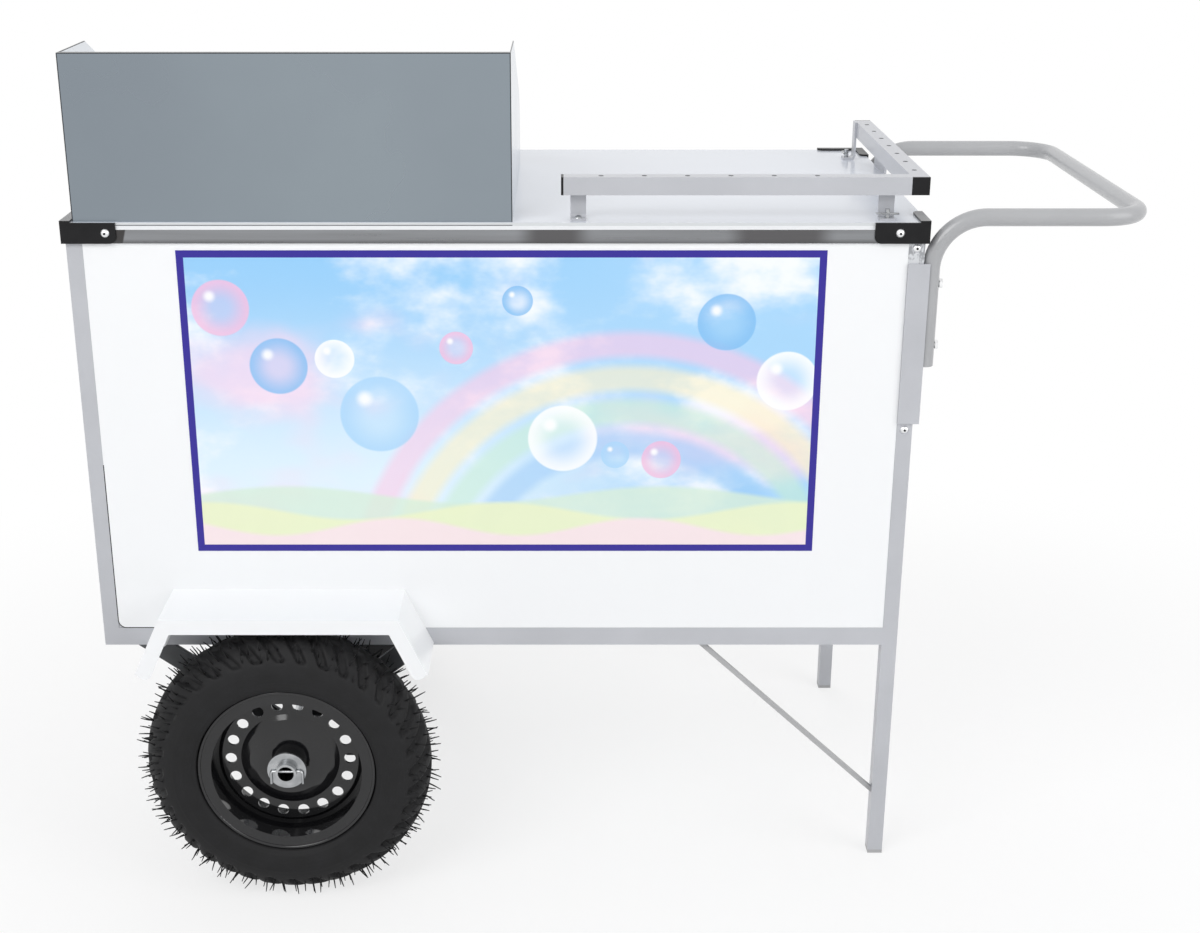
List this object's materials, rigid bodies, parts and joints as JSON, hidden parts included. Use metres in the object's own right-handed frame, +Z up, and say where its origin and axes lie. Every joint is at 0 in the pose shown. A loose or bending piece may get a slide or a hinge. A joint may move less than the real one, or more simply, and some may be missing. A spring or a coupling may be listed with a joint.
{
  "type": "candy floss cart",
  "caption": "Tube-framed street cart for spinning candy floss, with barrow wheels, legs, push handle, wind guard, stick rack and a cabinet with a door.",
  "frame": {"origin": "on the ground, under the middle of the outline", "axes": "+X towards the push handle, +Y towards the vendor's side, +Z up"},
  "size_m": [1.3486, 0.746, 1.097],
  "materials": {
    "frame_paint": "satin",
    "panel_paint": "gloss",
    "banner_print": "satin",
    "guard_sheet": "satin",
    "trim_steel": "brushed",
    "black_plastic": "gloss",
    "foot_plastic": "satin",
    "zinc": "bright",
    "dark_steel": "satin",
    "rim_paint": "gloss",
    "tyre_rubber": "matte",
    "tube_rubber": "matte",
    "bush_brass": "machined",
    "spun_aluminium": "spun",
    "board_wood": "sanded",
    "knob_plastic": "satin"
  },
  "bodies": {
    "cart": {"left_posts": "frame_paint", "legs": "frame_paint", "bottom_rails": "frame_paint", "top_frame": "frame_paint", "leg_braces": "frame_paint", "rack_front_tube": "frame_paint", "rack_side_tube": "frame_paint", "rack_feet": "frame_paint", "handle_tube": "frame_paint", "handle_sleeves": "frame_paint", "front_panel": "panel_paint", "left_panel": "panel_paint", "right_panel": "panel_paint", "back_panel": "panel_paint", "floor_panel": "panel_paint", "deck_sheet": "panel_paint", "fender_front": "panel_paint", "fender_back": "panel_paint", "banner": "banner_print", "wind_guard": "guard_sheet", "edge_trim": "trim_steel", "corner_caps": "black_plastic", "rack_plugs": "black_plastic", "power_inlet": "black_plastic", "brush_block": "black_plastic", "leg_feet": "foot_plastic", "door_hinge_leaves": "zinc", "deck_screws": "zinc", "rack_studs": "zinc", "rack_clips": "zinc", "handle_bolts": "zinc", "axle": "zinc", "axle_washers": "zinc", "axle_pins": "zinc", "axle_brackets": "dark_steel", "motor_housing": "dark_steel", "motor_mount": "dark_steel", "control_box": "dark_steel", "bowl": "spun_aluminium", "deck_board": "board_wood"},
    "front_wheel": {"front_tyre": "tyre_rubber", "front_inner_tube": "tube_rubber", "front_rim": "rim_paint", "front_hub": "rim_paint", "front_bushes": "bush_brass"},
    "back_wheel": {"back_tyre": "tyre_rubber", "back_inner_tube": "tube_rubber", "back_rim": "rim_paint", "back_hub": "rim_paint", "back_bushes": "bush_brass"},
    "spinner": {"spinner_head": "spun_aluminium", "heater_band": "bush_brass", "spinner_shaft": "dark_steel", "slip_rings": "bush_brass"},
    "door": {"back_door": "panel_paint", "door_knuckles": "zinc", "door_pull": "zinc"},
    "turn_button": {"door_turn_button": "zinc"},
    "switch": {"power_switch": "black_plastic"},
    "knob": {"heat_knob": "knob_plastic"}
  },
  "joints": [
    {"name": "front_wheel_spin", "type": "hinge", "parent": "cart", "child": "front_wheel", "pos_m": [-0.41975, -0.327, 0.188], "axis": [0, 1, 0], "continuous": true},
    {"name": "back_wheel_spin", "type": "hinge", "parent": "cart", "child": "back_wheel", "pos_m": [-0.41975, 0.327, 0.188], "axis": [0, 1, 0], "continuous": true},
    {"name": "spinner_spin", "type": "hinge", "parent": "cart", "child": "spinner", "pos_m": [-0.38975, 0, 0.894], "axis": [0, 0, 1], "continuous": true},
    {"name": "door_swing", "type": "hinge", "parent": "cart", "child": "door", "pos_m": [-0.22775, 0.2656, 0.607], "axis": [0, 0, 1], "range_deg": [0, 110]},
    {"name": "button_turn", "type": "hinge", "parent": "cart", "child": "turn_button", "pos_m": [0.27425, 0.2745, 0.717], "axis": [0, 1, 0], "range_deg": [0, 90]},
    {"name": "switch_rock", "type": "hinge", "parent": "cart", "child": "switch", "pos_m": [-0.52975, 0.308, 0.758], "axis": [1, 0, 0], "range_deg": [0, 16]},
    {"name": "knob_turn", "type": "hinge", "parent": "cart", "child": "knob", "pos_m": [-0.43975, 0.315, 0.758], "axis": [0, 1, 0], "range_deg": [0, 270]}
  ]
}
